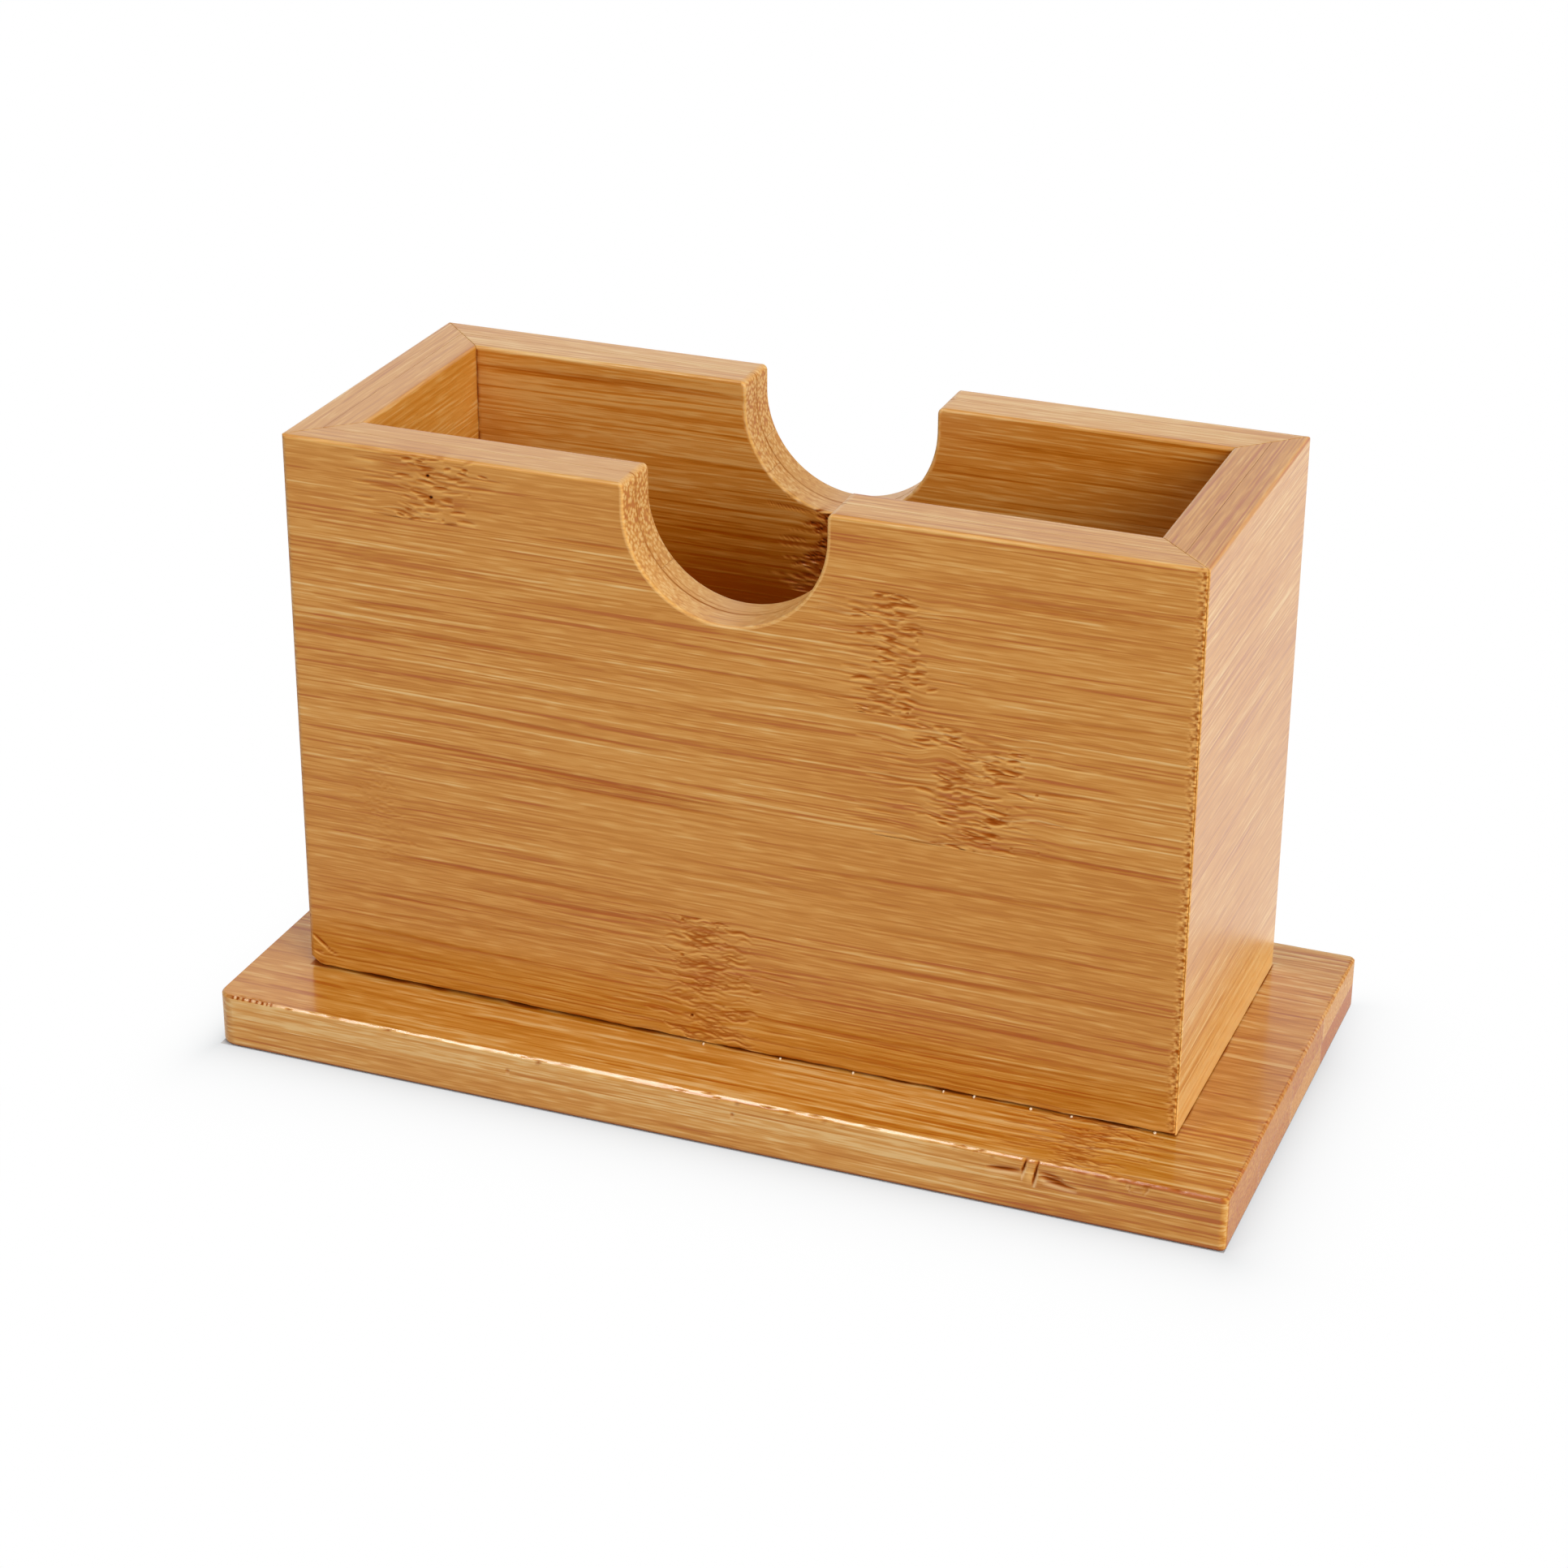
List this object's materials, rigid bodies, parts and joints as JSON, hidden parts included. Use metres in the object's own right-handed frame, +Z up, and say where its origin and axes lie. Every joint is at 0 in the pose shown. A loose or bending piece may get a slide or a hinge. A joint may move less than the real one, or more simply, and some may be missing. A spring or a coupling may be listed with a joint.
{
  "type": "napkin box",
  "caption": "Open-topped laminated bamboo napkin box with mitred walls and a round finger notch in the front and back, glued on a wider base board.",
  "frame": {"origin": "centre of the base board's underside, on the surface that the box stands on", "axes": "+X along the front to the right, +Y from front to back, +Z up out of the open top"},
  "size_m": [0.172, 0.083, 0.1036],
  "materials": {
    "bamboo_honey": "planed laminated bamboo under a satin clear lacquer, honey coloured strip",
    "bamboo_pale": "planed laminated bamboo under a satin clear lacquer, pale strip",
    "bamboo_caramel": "planed laminated bamboo under a satin clear lacquer, darker strip"
  },
  "bodies": {
    "root": {"back_inner_rim_strip_left": "bamboo_pale", "back_inner_rim_strip_right": "bamboo_pale", "back_inner_strip_1": "bamboo_caramel", "back_inner_strip_2": "bamboo_honey", "back_inner_strip_3": "bamboo_pale", "back_inner_strip_4": "bamboo_caramel", "back_outer_rim_strip_left": "bamboo_honey", "back_outer_rim_strip_right": "bamboo_honey", "back_outer_strip_1": "bamboo_pale", "back_outer_strip_2": "bamboo_caramel", "back_outer_strip_3": "bamboo_honey", "back_outer_strip_4": "bamboo_pale", "base_lower_strip_1": "bamboo_honey", "base_lower_strip_2": "bamboo_pale", "base_lower_strip_3": "bamboo_caramel", "base_lower_strip_4": "bamboo_honey", "base_upper_strip_1": "bamboo_pale", "base_upper_strip_2": "bamboo_caramel", "base_upper_strip_3": "bamboo_honey", "base_upper_strip_4": "bamboo_pale", "front_inner_rim_strip_left": "bamboo_pale", "front_inner_rim_strip_right": "bamboo_pale", "front_inner_strip_1": "bamboo_caramel", "front_inner_strip_2": "bamboo_honey", "front_inner_strip_3": "bamboo_pale", "front_inner_strip_4": "bamboo_caramel", "front_outer_rim_strip_left": "bamboo_honey", "front_outer_rim_strip_right": "bamboo_honey", "front_outer_strip_1": "bamboo_pale", "front_outer_strip_2": "bamboo_caramel", "front_outer_strip_3": "bamboo_honey", "front_outer_strip_4": "bamboo_pale", "left_end_inner_rim_strip": "bamboo_pale", "left_end_inner_strip_1": "bamboo_caramel", "left_end_inner_strip_2": "bamboo_honey", "left_end_inner_strip_3": "bamboo_pale", "left_end_inner_strip_4": "bamboo_caramel", "left_end_outer_rim_strip": "bamboo_honey", "left_end_outer_strip_1": "bamboo_pale", "left_end_outer_strip_2": "bamboo_caramel", "left_end_outer_strip_3": "bamboo_honey", "left_end_outer_strip_4": "bamboo_pale", "right_end_inner_rim_strip": "bamboo_pale", "right_end_inner_strip_1": "bamboo_caramel", "right_end_inner_strip_2": "bamboo_honey", "right_end_inner_strip_3": "bamboo_pale", "right_end_inner_strip_4": "bamboo_caramel", "right_end_outer_rim_strip": "bamboo_honey", "right_end_outer_strip_1": "bamboo_pale", "right_end_outer_strip_2": "bamboo_caramel", "right_end_outer_strip_3": "bamboo_honey", "right_end_outer_strip_4": "bamboo_pale"}
  },
  "joints": []
}
